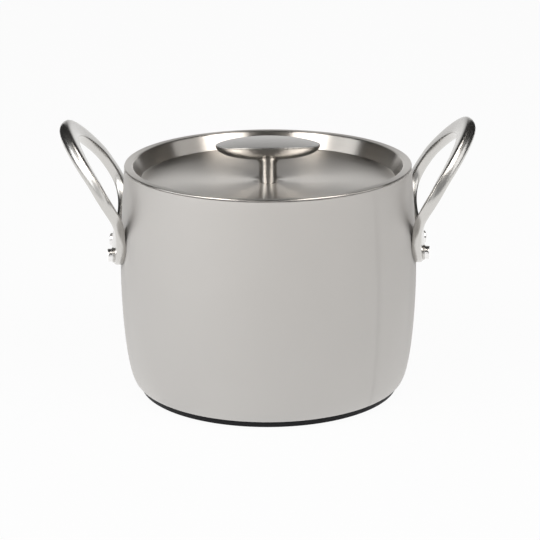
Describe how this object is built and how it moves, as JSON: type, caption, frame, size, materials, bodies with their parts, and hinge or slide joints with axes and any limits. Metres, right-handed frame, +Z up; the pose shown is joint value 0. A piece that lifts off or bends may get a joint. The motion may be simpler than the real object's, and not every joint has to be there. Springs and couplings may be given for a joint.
{
  "type": "lidded casserole",
  "caption": "Barrel-sided cooking pot with riveted loop handles that lean outwards and a loose sunk lid with an oval T-shaped knob.",
  "frame": {"origin": "on the table under the middle of the pot", "axes": "+Z up, the handles along +X and -X, the pictured front towards -Y"},
  "size_m": [0.2884, 0.2082, 0.1926],
  "materials": {
    "satin_wall": "fine bead-blasted satin steel, warm light grey",
    "core_aluminium": "plain rolled aluminium",
    "dark_base": "dark heat-proof coat on magnetic steel",
    "cast_steel": "satin-polished cast steel",
    "polished_rivet": "polished steel",
    "brushed_lid": "steel brushed in circles round the knob",
    "cast_knob": "satin-polished cast steel, top brushed lengthwise",
    "screw_steel": "bright steel"
  },
  "bodies": {
    "pot": {"pot_body": "satin_wall", "base_core": "core_aluminium", "base_plate": "dark_base", "left_handle": "cast_steel", "right_handle": "cast_steel", "left_rivets": "polished_rivet", "right_rivets": "polished_rivet"},
    "lid": {"lid_pan": "brushed_lid", "lid_knob": "cast_knob", "knob_screw": "screw_steel", "knob_washer": "screw_steel"}
  },
  "joints": [
    {"name": "lid_lift", "type": "slide", "parent": "pot", "child": "lid", "axis": [0, 0, 1], "range_m": [0, 0.08]}
  ]
}
